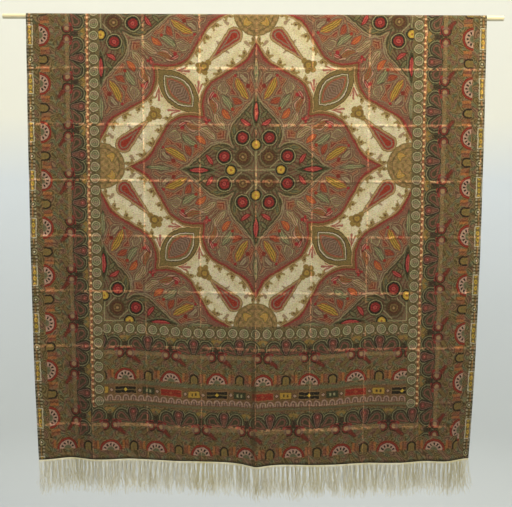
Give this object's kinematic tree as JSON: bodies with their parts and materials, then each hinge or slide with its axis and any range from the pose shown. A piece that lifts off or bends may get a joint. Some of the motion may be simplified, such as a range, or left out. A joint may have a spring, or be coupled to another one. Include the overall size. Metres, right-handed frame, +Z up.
{
  "type": "long fringed shawl hung over a rod",
  "caption": "Long patterned wool shawl folded over a round wooden rod, hanging in soft folds with a loose fringe along each hem.",
  "frame": {"origin": "middle of the rod, on its centre line, where the rod is held", "axes": "+X along the rod to the right of the front half, -Y out of the front half, +Z up"},
  "size_m": [1.765, 0.1049, 1.7373],
  "materials": {
    "rod": "pale smooth wood",
    "cloth": "fine woven wool with an all-over pattern",
    "fringe": "loose unspun wool threads"
  },
  "bodies": {
    "root": {"rod": "rod", "shawl": "cloth", "fringe_front": "fringe", "fringe_back": "fringe"}
  },
  "joints": []
}
